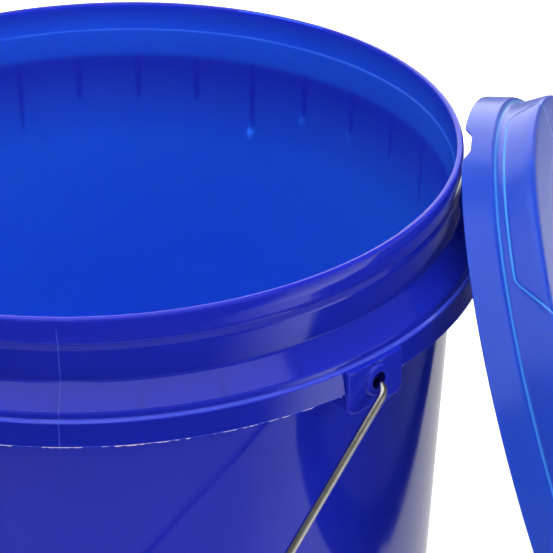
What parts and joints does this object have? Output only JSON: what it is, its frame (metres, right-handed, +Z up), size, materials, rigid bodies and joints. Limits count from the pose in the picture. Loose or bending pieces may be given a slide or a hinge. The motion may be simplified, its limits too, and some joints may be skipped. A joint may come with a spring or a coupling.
{
  "type": "wash bucket",
  "caption": "Open tapered plastic pail with a ribbed collar, a steel wire bail with a plastic grip, and a press-fit lid leaning against its rim.",
  "frame": {"origin": "centre of the bucket's base, on the floor", "axes": "+Z up along the bucket's axis; X through the two ears that hold the bail; the bail hangs towards -Y"},
  "size_m": [0.4438, 0.4455, 0.2997],
  "materials": {
    "bucket_plastic": "glossy injection-moulded polypropylene, deep blue",
    "lid_plastic": "satin, slightly translucent moulded polyethylene, lighter blue",
    "bail_wire": "drawn galvanised steel wire",
    "grip_plastic": "satin moulded blue plastic",
    "gasket_rubber": "matt pale foam rubber"
  },
  "bodies": {
    "bucket": {"bucket": "bucket_plastic"},
    "bail": {"bail": "bail_wire"},
    "grip": {"grip": "grip_plastic"},
    "lid": {"lid": "lid_plastic", "lid_gasket": "gasket_rubber"}
  },
  "joints": [
    {"name": "bail_swing", "type": "hinge", "parent": "bucket", "child": "bail", "pos_m": [0, 0, 0.2477], "axis": [1, 0, 0], "range_deg": [-185, 0]},
    {"name": "grip_spin", "type": "hinge", "parent": "bail", "child": "grip", "pos_m": [0, -0.15085, 0.09685], "axis": [1, 0, 0], "continuous": true},
    {"name": "lid_lift", "type": "slide", "parent": "bucket", "child": "lid", "axis": [0, 0, 1], "range_m": [0, 0.35]}
  ]
}
